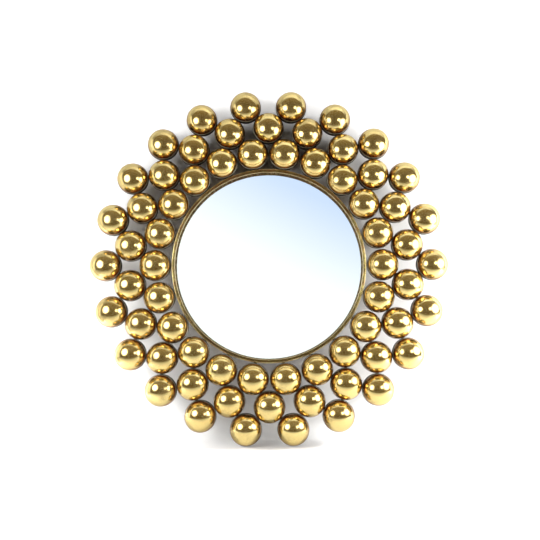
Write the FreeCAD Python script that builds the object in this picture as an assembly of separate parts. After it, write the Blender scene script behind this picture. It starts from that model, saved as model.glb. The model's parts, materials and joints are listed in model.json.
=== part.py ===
"""Girandole mirror: a round glass in a brass hoop, ringed by three rows of hollow brass balls.

Sizes are in millimetres. +Z is up, the mirror faces -Y, and the origin is the mirror's centre on the wall
plane y = 0, which the rubber bumpers on its back touch.
"""
import FreeCAD, Part
import math
import os

V = FreeCAD.Vector
Y_AXIS = V(0, 1, 0)

# ---- Balls ----
ball_d = 50.8              # outside diameter of every ball
ball_wall = 0.9            # brass left round its hollow
balls_per_ring = 22
neighbour_gap = 1.3        # between neighbours in the inner ring
link_gap = 0.3             # between two balls that a pin joins
ball_wall_clear = 1.85     # from the back of a ball to the wall, at least

# ---- Pins that join the balls, and studs that join the inner balls to the hoop ----
pin_d = 4.5
pin_reach = 1.2            # a pin's end stands this far inside a ball's hollow
collar_d = 6.4             # bead of braze round a pin, between the pieces that it joins
braze_gap = 0.05           # film of braze round a pin and its bead
stud_embed = 4.0           # depth of a stud's seat in the hoop
stud_cover = 1.0           # brass left between a stud and the glass

# ---- Hoop ----
rim_gap = 1.1              # from the hoop to the inner balls
rim_width = 6.5            # front band, from the sight edge to the outer wall
rim_proud = 7.0            # front band ahead of the balls' middle plane
rim_outer_round = 1.8
rim_inner_round = 1.0
hoop_wall = 2.0            # hoop beside the glass and behind it
tail_land = 3.4            # hoop left behind the slots of the turn buttons
hoop_wall_clear = 4.0      # from the back of the hoop to the wall, at least

# ---- Glass and what backs it ----
edge_clear = 0.5           # round the glass, the card and the board
glass_t = 4.0
glass_bevel = 0.5
card_t = 1.5
board_t = 9.0

# ---- Turn buttons ----
button_count = 4
button_first_deg = 45.0    # direction of the first one, from +X towards +Z
button_t = 1.5
button_w = 12.0
button_gap = 0.3           # in front of the blade and behind it
button_inset = 16.0        # from the pivot to the hoop's inner wall
button_tip_back = 0.7      # the tip ends this far inside the hoop's outer wall
slot_clear = 0.6           # each side of the swinging tip

# ---- Screws ----
head_d = 7.0
head_t = 1.8
drive_w = 1.1              # slot for the screwdriver
drive_depth = 0.8
shank_d = 3.0
shank_bite = 6.5           # length of a shank in the board
pilot_spare = 0.5          # a pilot hole is deeper than its shank by this much
pilot_gap = 0.05           # round a shank in its pilot hole
shoulder_d = 4.0           # pivot of a turn button
pivot_gap = 0.05           # running fit of a turn button on its shoulder
screw_hole_gap = 0.3       # round a shank in the strap or a bumper

# ---- Hanger ----
hanger_drop = 64.0         # from the board's edge down to the ring's hinge
strap_w = 14.0
strap_t = 1.2
strap_screw_drop = 22.0    # from the hinge down to the first screw
strap_screw_pitch = 18.0
wire_d = 3.0               # the ring's wire
hinge_gap = 0.06           # running fit of the ring in the strap's loop
ring_side_clear = 1.0      # between the loop's ends and the ring's corners
ring_corner_r = 3.0
ring_side = 2.0            # straight side between a corner and the bow

# ---- Wall bumpers ----
bumper_count = 4
bumper_d = 16.0
bumper_inset = 19.0        # from the board's edge to a bumper's middle
bumper_round = 1.5
sink_d = 8.4               # well that hides the screw's head
sink_depth = 4.0

# ---- Sizes that follow: radii ----
ball_r = ball_d / 2
pin_r = pin_d / 2
pin_hole_r = pin_r + braze_gap
pitch_deg = 360.0 / balls_per_ring
half_pitch = math.radians(pitch_deg / 2)
link_span = ball_d + link_gap


def next_ring_r(ring_r):
    """Radius of the ring whose balls touch two neighbours each in the ring of this radius."""
    return ring_r * math.cos(half_pitch) + math.sqrt(link_span ** 2 - (ring_r * math.sin(half_pitch)) ** 2)


inner_ring_r = (ball_d + neighbour_gap) / (2 * math.sin(half_pitch))
middle_ring_r = next_ring_r(inner_ring_r)
outer_ring_r = next_ring_r(middle_ring_r)
hoop_r = inner_ring_r - ball_r - rim_gap
sight_r = hoop_r - rim_width
rebate_r = hoop_r - hoop_wall
glass_r = rebate_r - edge_clear

# ---- Sizes that follow: depths behind the balls' middle plane, then places on Y ----
glass_behind = pin_r + stud_cover
card_behind = glass_behind + glass_t
board_behind = card_behind + card_t
board_back_behind = board_behind + board_t
slot_back_behind = board_back_behind + button_t + 2 * button_gap
hoop_back_behind = slot_back_behind + tail_land
wall_behind = max(ball_r + ball_wall_clear, hoop_back_behind + hoop_wall_clear)

ball_y = -wall_behind
rim_y = ball_y - rim_proud
glass_y = ball_y + glass_behind
card_y = ball_y + card_behind
board_y = ball_y + board_behind
board_back_y = ball_y + board_back_behind
slot_back_y = ball_y + slot_back_behind
hoop_back_y = ball_y + hoop_back_behind

# ---- Sizes that follow: turn buttons, hanger and bumpers ----
button_pivot_r = rebate_r - button_inset
button_reach = hoop_r - button_tip_back - button_pivot_r
button_front_y = board_back_y + button_gap
button_back_y = button_front_y + button_t

wire_r = wire_d / 2
loop_bore_r = wire_r + hinge_gap
loop_r = loop_bore_r + strap_t
hinge_y = board_back_y + loop_r
hinge_z = glass_r - hanger_drop
strap_back_y = board_back_y + strap_t
strap_screw_z = [hinge_z - strap_screw_drop, hinge_z - strap_screw_drop - strap_screw_pitch]
ring_half_w = strap_w / 2 + ring_side_clear + ring_corner_r
bow_z = hinge_z + ring_corner_r + ring_side

bumper_centre_r = glass_r - bumper_inset
bumper_floor_y = -sink_depth
overshoot = 1.0            # how far a cutting tool runs past the face that it cuts


# ---- Helpers ----
def polar(radius, degrees, y=ball_y):
    """Point at this radius and direction round the mirror's axis."""
    angle = math.radians(degrees)
    return V(radius * math.cos(angle), y, radius * math.sin(angle))


def rod(radius, y_front, y_back, x=0.0, z=0.0):
    """Round bar along Y."""
    return Part.makeCylinder(radius, y_back - y_front, V(x, y_front, z), Y_AXIS)


def turned(profile):
    """Ring turned about the mirror's axis from (radius, y) corners."""
    corners = [V(radius, y, 0) for radius, y in profile]
    outline = Part.makePolygon(corners + corners[:1])
    return Part.Face(outline).revolve(V(0, 0, 0), Y_AXIS, 360)


def rim_edges(shape, radius, y):
    """Round edges of a turned shape that have this radius and lie at this y."""
    near = 1e-4
    edges = [edge for edge in shape.Edges if isinstance(edge.Curve, Part.Circle)]
    return [edge for edge in edges
            if abs(edge.Curve.Radius - radius) < near and abs(edge.Curve.Center.y - y) < near]


def turn_to(shape, degrees):
    """Shape turned about the mirror's axis, from +X towards +Z."""
    turned_shape = shape.copy()
    turned_shape.rotate(V(0, 0, 0), Y_AXIS, -degrees)
    return turned_shape


# ---- Balls and pins ----
def ring_angles(offset=0.0):
    """Directions of the balls of one ring, which starts this part of a pitch past +X."""
    return [(index + offset) * pitch_deg for index in range(balls_per_ring)]


inner_angles = ring_angles()
middle_angles = ring_angles(0.5)
inner_balls = [polar(inner_ring_r, angle) for angle in inner_angles]
middle_balls = [polar(middle_ring_r, angle) for angle in middle_angles]
outer_balls = [polar(outer_ring_r, angle) for angle in inner_angles]
rim_points = [polar(hoop_r, angle) for angle in inner_angles]


def plain_ball(radius, centre):
    """Solid ball whose seam runs along its ring, clear of every pin."""
    sphere = Part.makeSphere(radius)
    sphere.rotate(V(0, 0, 0), V(1, 0, 0), 90)
    sphere.rotate(V(0, 0, 0), Y_AXIS, -90 - math.degrees(math.atan2(centre.z, centre.x)))
    sphere.translate(centre)
    return sphere


def hollow_ball(centre, partners):
    """Ball drilled towards each partner, where a pin goes in."""
    hollow = plain_ball(ball_r - ball_wall, centre)
    drills = [Part.makeCylinder(pin_hole_r, ball_r + overshoot, centre, partner - centre)
              for partner in partners]
    return plain_ball(ball_r, centre).cut([hollow] + drills)


def ball_trio(index):
    """Inner, middle and outer ball of one row across the three rings."""
    after = (index + 1) % balls_per_ring
    inner = hollow_ball(inner_balls[index],
                        [rim_points[index], middle_balls[index - 1], middle_balls[index]])
    middle = hollow_ball(middle_balls[index],
                         [inner_balls[index], inner_balls[after], outer_balls[index], outer_balls[after]])
    outer = hollow_ball(outer_balls[index], [middle_balls[index - 1], middle_balls[index]])
    return [inner, middle, outer]


def pin(start, end, face_start, face_end):
    """Round pin from start to end, with a bead of braze between the two faces, measured from start."""
    along = (end - start).normalize()
    shaft = Part.makeCylinder(pin_r, (end - start).Length, start, along)
    bead = Part.makeCylinder(collar_d / 2, face_end - face_start, start + along * face_start, along)
    return shaft.fuse(bead)


def link_pin(ball_a, ball_b):
    """Pin between two balls."""
    inset = ball_r - ball_wall - pin_reach
    along = (ball_b - ball_a).normalize()
    to_face = ball_r + braze_gap - inset
    length = (ball_b - ball_a).Length - 2 * inset
    return pin(ball_a + along * inset, ball_b - along * inset, to_face, length - to_face)


def link_pins(ring, other_ring):
    """Two pins from each ball of the inward ring, one to each ball that it touches outwards."""
    pins = []
    for index in range(balls_per_ring):
        pins.append(link_pin(ring[index], other_ring[index]))
        pins.append(link_pin(ring[index], other_ring[index - 1]))
    return pins


def outer_link_pins():
    """Two pins from each ball of the outer ring to the middle balls beside it."""
    return link_pins(outer_balls, middle_balls)


def rim_studs():
    """Stud from the hoop into each inner ball."""
    studs = []
    for angle in inner_angles:
        seat_r = hoop_r - stud_embed + braze_gap
        start = polar(seat_r, angle)
        end = polar(inner_ring_r - ball_r + ball_wall + pin_reach, angle)
        studs.append(pin(start, end, hoop_r + braze_gap - seat_r, hoop_r + rim_gap - braze_gap - seat_r))
    return studs


# ---- Hoop ----
def slot_half_width():
    """Half the width that a turn button's swinging tip needs at the hoop's inner wall."""
    radial = (button_pivot_r ** 2 + rebate_r ** 2 - button_reach ** 2) / (2 * button_pivot_r)
    return math.sqrt(rebate_r ** 2 - radial ** 2) + slot_clear


def button_slot(degrees):
    """Cutter for the slot in the hoop that a turn button's tip enters."""
    half_w = slot_half_width()
    depth = hoop_r + overshoot - button_pivot_r
    slot = Part.makeBox(depth, slot_back_y - board_back_y, 2 * half_w, V(button_pivot_r, board_back_y, -half_w))
    return turn_to(slot, degrees)


def button_angles():
    """Directions of the turn buttons."""
    return [button_first_deg + index * 360.0 / button_count for index in range(button_count)]


def rim_hoop():
    """Rebated hoop with a rounded front band, drilled for the studs and slotted for the turn buttons."""
    hoop = turned([(sight_r, rim_y), (hoop_r, rim_y), (hoop_r, hoop_back_y),
                   (rebate_r, hoop_back_y), (rebate_r, glass_y), (sight_r, glass_y)])
    hoop = hoop.makeFillet(rim_outer_round, rim_edges(hoop, hoop_r, rim_y))
    hoop = hoop.makeFillet(rim_inner_round, rim_edges(hoop, sight_r, rim_y))
    cutters = [button_slot(angle) for angle in button_angles()]
    for angle in inner_angles:
        seat = polar(hoop_r - stud_embed, angle)
        outwards = polar(1.0, angle, 0.0)
        cutters.append(Part.makeCylinder(pin_hole_r, stud_embed + overshoot, seat, outwards))
    return hoop.cut(cutters)


# ---- Glass, card and board ----
def mirror_glass():
    """Flat round glass with ground edges."""
    glass = rod(glass_r, glass_y, card_y)
    edges = rim_edges(glass, glass_r, glass_y) + rim_edges(glass, glass_r, card_y)
    return glass.makeChamfer(glass_bevel, edges)


def card_sheet():
    """Thin card that cushions the silvered back of the glass."""
    return rod(glass_r, card_y, board_y)


def screw_places():
    """(x, z) of every screw in the board: turn buttons, strap, bumpers."""
    buttons = [(point.x, point.z) for point in (polar(button_pivot_r, angle) for angle in button_angles())]
    strap = [(0.0, z) for z in strap_screw_z]
    return buttons, strap, bumper_places()


def backing_board():
    """Round board with a pilot hole for each screw."""
    board = rod(glass_r, board_y, board_back_y)
    bottom_y = board_back_y - shank_bite - pilot_spare
    pilots = [rod(shank_d / 2 + pilot_gap, bottom_y, board_back_y + overshoot, x, z)
              for places in screw_places() for x, z in places]
    return board.cut(pilots)


# ---- Screws ----
def screw(x, z, seat_y, grip_d):
    """Slotted screw whose head sits at seat_y, with a grip of this diameter down to the board."""
    head = rod(head_d / 2, seat_y, seat_y + head_t, x, z)
    grip = rod(grip_d / 2, board_back_y, seat_y, x, z)
    shank = rod(shank_d / 2, board_back_y - shank_bite, board_back_y, x, z)
    corner = V(x - head_d / 2 - overshoot, seat_y + head_t - drive_depth, z - drive_w / 2)
    drive = Part.makeBox(head_d + 2 * overshoot, drive_depth + overshoot, drive_w, corner)
    return head.fuse([grip, shank]).cut(drive)


def turn_button_screws():
    """Shoulder screws that the turn buttons swing on."""
    return [screw(x, z, button_back_y + button_gap, shoulder_d) for x, z in screw_places()[0]]


def hanger_screws():
    """Two screws through the hanger's strap."""
    return [screw(x, z, strap_back_y, shank_d) for x, z in screw_places()[1]]


def bumper_screws():
    """A screw at the bottom of each bumper's well."""
    return [screw(x, z, bumper_floor_y, shank_d) for x, z in screw_places()[2]]


# ---- Turn buttons ----
def turn_button(degrees):
    """Pressed blade, round about its pivot at both ends, with its tip in the hoop's slot."""
    hub = rod(button_w / 2, button_front_y, button_back_y)
    corner = V(0, button_front_y, -button_w / 2)
    arm = Part.makeBox(button_reach, button_t, button_w, corner)
    arm = arm.common(rod(button_reach, button_front_y, button_back_y))
    bore = rod(shoulder_d / 2 + pivot_gap, button_front_y - overshoot, button_back_y + overshoot)
    blade = hub.fuse(arm).removeSplitter().cut(bore)
    blade.translate(V(button_pivot_r, 0, 0))
    return turn_to(blade, degrees)


# ---- Hanger ----
def hanger_strap():
    """Folded strap: a round-ended plate on the board and a loop round the ring's bar."""
    plate_end = strap_screw_z[-1]
    plate = Part.makeBox(strap_w, strap_t, hinge_z - plate_end, V(-strap_w / 2, board_back_y, plate_end))
    end = rod(strap_w / 2, board_back_y, strap_back_y, 0, plate_end)
    loop = Part.makeCylinder(loop_r, strap_w, V(-strap_w / 2, hinge_y, hinge_z), V(1, 0, 0))
    start = V(-strap_w / 2 - overshoot, hinge_y, hinge_z)
    bore = Part.makeCylinder(loop_bore_r, strap_w + 2 * overshoot, start, V(1, 0, 0))
    holes = [rod(shank_d / 2 + screw_hole_gap, board_back_y - overshoot, strap_back_y + overshoot, 0, z)
             for z in strap_screw_z]
    return plate.fuse([end, loop]).removeSplitter().cut([bore] + holes)


def wire_bend(start, heading, centre, degrees):
    """Round wire bent about centre in the ring's plane, from start and the way that it heads there."""
    section = Part.Face(Part.Wire(Part.makeCircle(wire_r, start, heading)))
    return section.revolve(centre, V(0, -1, 0), degrees)


def hanger_ring():
    """D-shaped wire ring that stands up from its bar, as it does on a nail."""
    bar_half = ring_half_w - ring_corner_r
    corner_z = hinge_z + ring_corner_r
    bar = Part.makeCylinder(wire_r, 2 * bar_half, V(-bar_half, hinge_y, hinge_z), V(1, 0, 0))
    pieces = []
    for side in (-1, 1):
        upright = Part.makeCylinder(wire_r, ring_side, V(side * ring_half_w, hinge_y, corner_z), V(0, 0, 1))
        pieces.append(upright)
    right = wire_bend(V(bar_half, hinge_y, hinge_z), V(1, 0, 0), V(bar_half, hinge_y, corner_z), 90)
    left = wire_bend(V(-ring_half_w, hinge_y, corner_z), V(0, 0, -1), V(-bar_half, hinge_y, corner_z), 90)
    bow = wire_bend(V(ring_half_w, hinge_y, bow_z), V(0, 0, 1), V(0, hinge_y, bow_z), 180)
    return bar.fuse(pieces + [right, left, bow]).removeSplitter()


# ---- Wall bumpers ----
def bumper_places():
    """(x, z) of each wall bumper."""
    angles = [index * 360.0 / bumper_count for index in range(bumper_count)]
    return [(point.x, point.z) for point in (polar(bumper_centre_r, angle) for angle in angles)]


def wall_bumper(x, z):
    """Rubber foot with a rounded edge at the wall and a well for its screw."""
    foot = rod(bumper_d / 2, board_back_y, 0.0, x, z)
    foot = foot.makeFillet(bumper_round, rim_edges(foot, bumper_d / 2, 0.0))
    hole = rod(shank_d / 2 + screw_hole_gap, board_back_y - overshoot, 0.0, x, z)
    well = rod(sink_d / 2, bumper_floor_y, overshoot, x, z)
    return foot.cut([hole, well])


# ---- All nodes ----
def build_nodes():
    """Solids of each node, by the node's name."""
    nodes = {
        "rim_hoop": [rim_hoop()],
        "mirror_glass": [mirror_glass()],
        "card_sheet": [card_sheet()],
        "backing_board": [backing_board()],
        "turn_button_screws": turn_button_screws(),
        "hanger_strap": [hanger_strap()],
        "hanger_ring": [hanger_ring()],
        "hanger_screws": hanger_screws(),
        "bumper_screws": bumper_screws(),
        "rim_studs": rim_studs(),
        "inner_link_pins": link_pins(inner_balls, middle_balls),
        "outer_link_pins": outer_link_pins(),
    }
    for index, angle in enumerate(button_angles(), 1):
        nodes[f"turn_button_{index}"] = [turn_button(angle)]
    for index, (x, z) in enumerate(bumper_places(), 1):
        nodes[f"wall_bumper_{index}"] = [wall_bumper(x, z)]
    for index in range(balls_per_ring):
        nodes[f"ball_trio_{index + 1:02d}"] = ball_trio(index)
    return nodes


def export_nodes():
    """One STEP file for each node."""
    os.makedirs("parts", exist_ok=True)
    for name, solids in build_nodes().items():
        shape = solids[0] if len(solids) == 1 else Part.makeCompound(solids)
        shape.exportStep(f"parts/{name}.step")


export_nodes()
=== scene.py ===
"""Looks of the ball-ringed girandole mirror, laid out as a Blender add-on and run as a script.

Lengths are metres, in the frame's own axes: +Z up, the mirror faces -Y and the wall plane is y = 0.
"""

import json
import math

import bmesh
import bpy
from mathutils import Euler, Matrix, Vector

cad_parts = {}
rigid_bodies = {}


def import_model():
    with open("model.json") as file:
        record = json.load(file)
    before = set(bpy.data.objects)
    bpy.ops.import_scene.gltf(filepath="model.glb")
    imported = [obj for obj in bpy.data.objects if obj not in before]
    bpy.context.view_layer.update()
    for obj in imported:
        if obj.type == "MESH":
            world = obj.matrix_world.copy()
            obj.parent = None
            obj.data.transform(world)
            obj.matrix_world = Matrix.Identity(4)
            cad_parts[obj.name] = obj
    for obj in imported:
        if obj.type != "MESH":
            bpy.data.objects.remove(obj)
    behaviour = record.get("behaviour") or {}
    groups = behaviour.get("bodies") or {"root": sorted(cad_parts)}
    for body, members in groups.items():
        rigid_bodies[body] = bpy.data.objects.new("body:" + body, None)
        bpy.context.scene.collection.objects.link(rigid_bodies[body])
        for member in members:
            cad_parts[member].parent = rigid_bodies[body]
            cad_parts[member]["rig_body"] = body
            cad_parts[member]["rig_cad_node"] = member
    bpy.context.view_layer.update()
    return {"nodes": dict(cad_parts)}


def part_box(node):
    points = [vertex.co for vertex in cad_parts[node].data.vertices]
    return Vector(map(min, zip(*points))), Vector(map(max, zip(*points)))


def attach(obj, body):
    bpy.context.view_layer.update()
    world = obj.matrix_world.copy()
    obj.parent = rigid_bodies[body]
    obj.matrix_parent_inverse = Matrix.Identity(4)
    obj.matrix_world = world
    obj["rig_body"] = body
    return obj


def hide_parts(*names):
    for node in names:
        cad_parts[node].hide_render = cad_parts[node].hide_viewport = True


bl_info = {
    "name": "Girandole Mirror Looks",
    "version": (1, 0, 0),
    "blender": (4, 5, 0),
    "location": "View3D > Sidebar > Girandole",
    "description": "Dresses the girandole mirror: polished balls, hammered hoop, glass and hardware",
    "category": "Object",
}

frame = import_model()

TRIO_NODES = sorted(name for name in frame["nodes"] if name.startswith("ball_trio_"))
BUTTON_NODES = sorted(name for name in frame["nodes"] if name.startswith("turn_button_")
                      and name != "turn_button_screws")
BUMPER_NODES = sorted(name for name in frame["nodes"] if name.startswith("wall_bumper_"))
TRIO_LOW, TRIO_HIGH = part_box(TRIO_NODES[0])
HOOP_LOW, HOOP_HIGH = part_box("rim_hoop")
GLASS_LOW, GLASS_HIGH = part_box("mirror_glass")
BUTTON_LOW, BUTTON_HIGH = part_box(BUTTON_NODES[0])
MM = 0.001
PITCH = 2 * math.pi / len(TRIO_NODES)
BALL_RADIUS = (TRIO_HIGH.y - TRIO_LOW.y) / 2
BALL_Y = (TRIO_HIGH.y + TRIO_LOW.y) / 2
ROOM_WIDTH = 7.0
STAGE_WHITE = (0.83, 0.83, 0.83)
DOME_RADIUS = 3.6

# A ball's side, from where the polish ends (0) to the middle of its back (1): place and colour.
# The brown and black bands are painted shade and the pale grey-green band is a painted reflection, over a
# dull back.
SIDE_BANDS_PAINTED_SHADE_AND_REFLECTION = (
    (0.0, (0.66, 0.36, 0.12)), (0.17, (0.40, 0.18, 0.07)), (0.23, (0.22, 0.11, 0.06)),
    (0.265, (0.50, 0.47, 0.36)), (0.33, (0.44, 0.41, 0.31)), (0.37, (0.03, 0.026, 0.02)),
    (0.60, (0.04, 0.032, 0.022)), (0.88, (0.24, 0.20, 0.14)), (1.0, (0.34, 0.27, 0.16)))

# Lamps that only the brass shows: name, place, width and height.
SOFTBOXES = (
    ("left_softbox", (-0.48, -0.48, 0.06), 0.42, 0.44),
    ("right_softbox", (0.39, -0.64, 0.06), 0.22, 0.22),
    ("far_right_softbox", (0.55, -0.28, 0.02), 0.44, 0.40))

# Lamps that only light matt surfaces: name, place, width, height and radiance.
SIDE_LAMPS = (
    ("left_key", (-0.674, -0.647, 0.196), 0.30, 0.37, 12.0),
    ("left_low", (-0.465, -0.043, -0.188), 0.24, 0.26, 8.0),
    ("right_high", (0.959, -0.166, 0.295), 0.20, 0.18, 98.0),
    ("right_low", (0.765, -0.188, -0.279), 0.22, 0.80, 22.0))


# ---- Sizes and colours that a user would change ----
def number_setting(name, description, default, **kind):
    """Number that a user would change, with its unit or subtype where one fits."""
    return bpy.props.FloatProperty(name=name, description=description, default=default, **kind)


def length_setting(name, description, default):
    """Length that a user would change."""
    return number_setting(name, description, default, unit="LENGTH")


def angle_setting(name, description, degrees):
    """Angle that a user would change."""
    return number_setting(name, description, math.radians(degrees), subtype="ANGLE")


def colour_setting(name, description, default):
    """Linear colour that a user would change."""
    return bpy.props.FloatVectorProperty(name=name, description=description, default=default,
                                         subtype="COLOR", min=0, max=1)


class GirandoleSizes(bpy.types.PropertyGroup):
    """Sizes of the visible pieces."""
    ball_radius: length_setting("Ball radius", "Radius of every polished ball", BALL_RADIUS)
    inner_ring: length_setting("Inner ring", "Radius of the ring nearest the hoop", TRIO_LOW.x + BALL_RADIUS)
    middle_ring: length_setting("Middle ring", "Radius of the ring turned half a pitch",
                                (TRIO_HIGH.z - BALL_RADIUS) / math.sin(PITCH / 2))
    outer_ring: length_setting("Outer ring", "Radius of the outermost ring", TRIO_HIGH.x - BALL_RADIUS)
    hoop_radius: length_setting("Hoop radius", "Outer radius of the hoop", HOOP_HIGH.x)
    rim_width: length_setting("Rim width", "Width of the hoop's front band", 6.5 * MM)
    hoop_wall: length_setting("Hoop wall", "Thickness of the hoop behind the glass", 2 * MM)
    outer_round: length_setting("Outer round", "Rounding of the band's outer edge", 1.8 * MM)
    inner_round: length_setting("Inner round", "Rounding of the band's sight edge", 1.0 * MM)
    hammer_depth: length_setting("Hammer depth", "Depth of the hoop's hammer marks", 0.22 * MM)
    hammer_size: length_setting("Hammer size", "Spacing of the hoop's hammer marks", 6 * MM)


class GirandoleColours(bpy.types.PropertyGroup):
    """Colours of the finishes, as linear values."""
    brass: colour_setting("Brass", "Polished brass of the balls", (0.92, 0.75, 0.32))
    hoop_brass: colour_setting("Hoop brass", "Aged brass of the hoop", (0.96, 0.82, 0.42))
    # Pale colour painted along the hoop's rounded edges as a highlight.
    rubbed: colour_setting("Rubbed brass", "Pale rubbed edges of the hoop", (1.0, 0.92, 0.64))
    tarnish: colour_setting("Tarnish", "Brown specks and stains on brass", (0.16, 0.075, 0.025))
    braze: colour_setting("Braze", "Dark beads between the balls", (0.10, 0.065, 0.03))
    silver: colour_setting("Silvering", "Reflection of the mirror glass", (0.955, 0.965, 0.97))
    board: colour_setting("Board", "Raw fibreboard behind the glass", (0.27, 0.16, 0.085))
    card: colour_setting("Card", "Grey-brown card", (0.30, 0.22, 0.14))
    zinc: colour_setting("Zinc", "Zinc-plated steel hardware", (0.62, 0.61, 0.58))
    rubber: colour_setting("Rubber", "Black rubber of the bumpers", (0.018, 0.018, 0.019))


class GirandoleStage(bpy.types.PropertyGroup):
    """Camera, room and light."""
    lens: number_setting("Lens", "Focal length in mm on a 36 mm sensor", 40.0)
    distance: length_setting("Distance", "Camera to the point it looks at", 0.9664)
    elevation: angle_setting("Elevation", "Camera above the mirror's axis", -4.74)
    roll: angle_setting("Roll", "Camera roll", -0.24)
    aim: bpy.props.FloatVectorProperty(
        name="Aim", description="Point that the camera looks at", default=(0.0017, -0.0273, -0.0078),
        subtype="TRANSLATION")
    lean: angle_setting("Lean", "How far the mirror leans back against the wall", 4.74)
    table_depth: length_setting("Table depth", "White table in front of the mirror", 0.42)
    canopy_depth: length_setting("Canopy depth", "White canopy overhead, from the wall forward", 0.33)
    canopy_height: length_setting("Canopy height", "White canopy above the mirror's centre", 0.90)
    room_glow: number_setting("Room glow", "Whiteness that the room adds clear of the mirror", 1.0)
    room_shine: number_setting("Room shine", "Whiteness that the room adds to reflections", 0.05)
    side_strength: number_setting("Side lamps", "Share of the side lamps' full light", 1.0)
    softbox_strength: number_setting("Softboxes", "Radiance of the softboxes seen in the brass", 3.2)
    front_grey: number_setting("Front grey", "Brightness of the dim studio in front", 0.14)


GROUPS = (GirandoleSizes, GirandoleColours, GirandoleStage)
HOLDERS = ("girandole_sizes", "girandole_colours", "girandole_stage")


# ---- Modelling helpers ----
def deselect_all():
    """Leaves object mode and selects nothing."""
    if bpy.context.object and bpy.context.object.mode != "OBJECT":
        bpy.ops.object.mode_set(mode="OBJECT")
    bpy.ops.object.select_all(action="DESELECT")


def make_active(piece):
    """Selects this object alone."""
    deselect_all()
    piece.hide_set(False)
    piece.select_set(True)
    bpy.context.view_layer.objects.active = piece
    return piece


def new_primitive(adder, name, **options):
    """Adds a primitive by its operator and names it."""
    deselect_all()
    adder(**options)
    piece = bpy.context.object
    piece.name = name
    piece.data.name = name
    return piece


def select_by(piece, kind, test):
    """In edit mode, selects only the vertices, edges or faces that pass the test."""
    bpy.ops.mesh.select_mode(type={"verts": "VERT", "edges": "EDGE", "faces": "FACE"}[kind])
    bpy.ops.mesh.select_all(action="DESELECT")
    mesh = bmesh.from_edit_mesh(piece.data)
    for element in getattr(mesh, kind):
        if test(element):
            element.select_set(True)
    mesh.select_flush_mode()
    bmesh.update_edit_mesh(piece.data)


def edge_middle(edge):
    """Point half-way along an edge."""
    return (edge.verts[0].co + edge.verts[1].co) / 2


def apply_modifiers(piece):
    """Applies all modifiers in order."""
    make_active(piece)
    for modifier in list(piece.modifiers):
        bpy.ops.object.modifier_apply(modifier=modifier.name)


def apply_place(piece):
    """Moves the object's place into its mesh."""
    make_active(piece)
    bpy.ops.object.transform_apply(location=True, rotation=True, scale=True)


def close_up(piece, distance=1e-6):
    """Merges doubles and turns all faces outwards."""
    make_active(piece)
    bpy.ops.object.mode_set(mode="EDIT")
    bpy.ops.mesh.select_all(action="SELECT")
    bpy.ops.mesh.remove_doubles(threshold=distance)
    bpy.ops.mesh.normals_make_consistent(inside=False)
    bpy.ops.object.mode_set(mode="OBJECT")


def smooth(piece, degrees=35):
    """Smooth shading with sharp edges past this angle."""
    make_active(piece)
    bpy.ops.object.shade_smooth_by_angle(angle=math.radians(degrees))


def finish_piece(piece, material, slot, body, *nodes):
    """Gives a piece its material and body, and hides the nodes that it stands for. The slot is not used."""
    piece.data.materials.clear()
    piece.data.materials.append(material)
    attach(piece, body)
    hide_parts(*nodes)


def polar(radius, angle, y=BALL_Y):
    """Point at this radius and direction round the mirror's axis."""
    return Vector((radius * math.cos(angle), y, radius * math.sin(angle)))


def copy_of(piece, name, matrix):
    """Copy with its own mesh, moved by this matrix in its mesh."""
    twin = piece.copy()
    twin.data = piece.data.copy()
    twin.name = name
    twin.data.name = name
    twin.data.transform(matrix)
    bpy.context.scene.collection.objects.link(twin)
    return twin


def join(pieces, name):
    """Joins pieces into the first and names it."""
    make_active(pieces[0])
    for piece in pieces:
        piece.select_set(True)
    bpy.ops.object.join()
    pieces[0].name = name
    pieces[0].data.name = name
    return pieces[0]


# ---- Shader helpers ----
def empty_material(name):
    """New material, its node tree and its output."""
    material = bpy.data.materials.new(name)
    material.use_nodes = True
    tree = material.node_tree
    tree.nodes.clear()
    return material, tree, tree.nodes.new("ShaderNodeOutputMaterial").inputs["Surface"]


def object_coordinates(tree):
    """Socket with the object's own coordinates."""
    return tree.nodes.new("ShaderNodeTexCoord").outputs["Object"]


def feed(tree, socket, value):
    """Gives a socket a number, a colour or another socket's value."""
    if isinstance(value, bpy.types.NodeSocket):
        tree.links.new(value, socket)
    elif isinstance(value, (int, float)):
        socket.default_value = value
    else:
        socket.default_value = (*value, 1.0)


def feed_shader(tree, shader, base, roughness, metallic, normal=None):
    """Gives the Principled shader its colour, roughness, metalness and normal."""
    feed(tree, shader.inputs["Base Color"], base)
    feed(tree, shader.inputs["Roughness"], roughness)
    feed(tree, shader.inputs["Metallic"], metallic)
    if normal is not None:
        tree.links.new(normal, shader.inputs["Normal"])


def noise(tree, vector, scale, detail=2.0, roughness=0.5, distortion=0.0):
    """Noise texture's value socket."""
    node = tree.nodes.new("ShaderNodeTexNoise")
    feed(tree, node.inputs["Scale"], scale)
    node.inputs["Detail"].default_value = detail
    node.inputs["Roughness"].default_value = roughness
    node.inputs["Distortion"].default_value = distortion
    tree.links.new(vector, node.inputs["Vector"])
    return node.outputs["Fac"]


def mapped(tree, vector, scale):
    """Vector stretched along the axes."""
    node = tree.nodes.new("ShaderNodeMapping")
    node.inputs["Scale"].default_value = scale
    tree.links.new(vector, node.inputs["Vector"])
    return node.outputs["Vector"]


def split(tree, vector):
    """Sockets X, Y and Z of a vector."""
    node = tree.nodes.new("ShaderNodeSeparateXYZ")
    tree.links.new(vector, node.inputs["Vector"])
    return node.outputs


def length_of(tree, vector):
    """Length of a vector."""
    node = tree.nodes.new("ShaderNodeVectorMath")
    node.operation = "LENGTH"
    tree.links.new(vector, node.inputs[0])
    return node.outputs["Value"]


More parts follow.
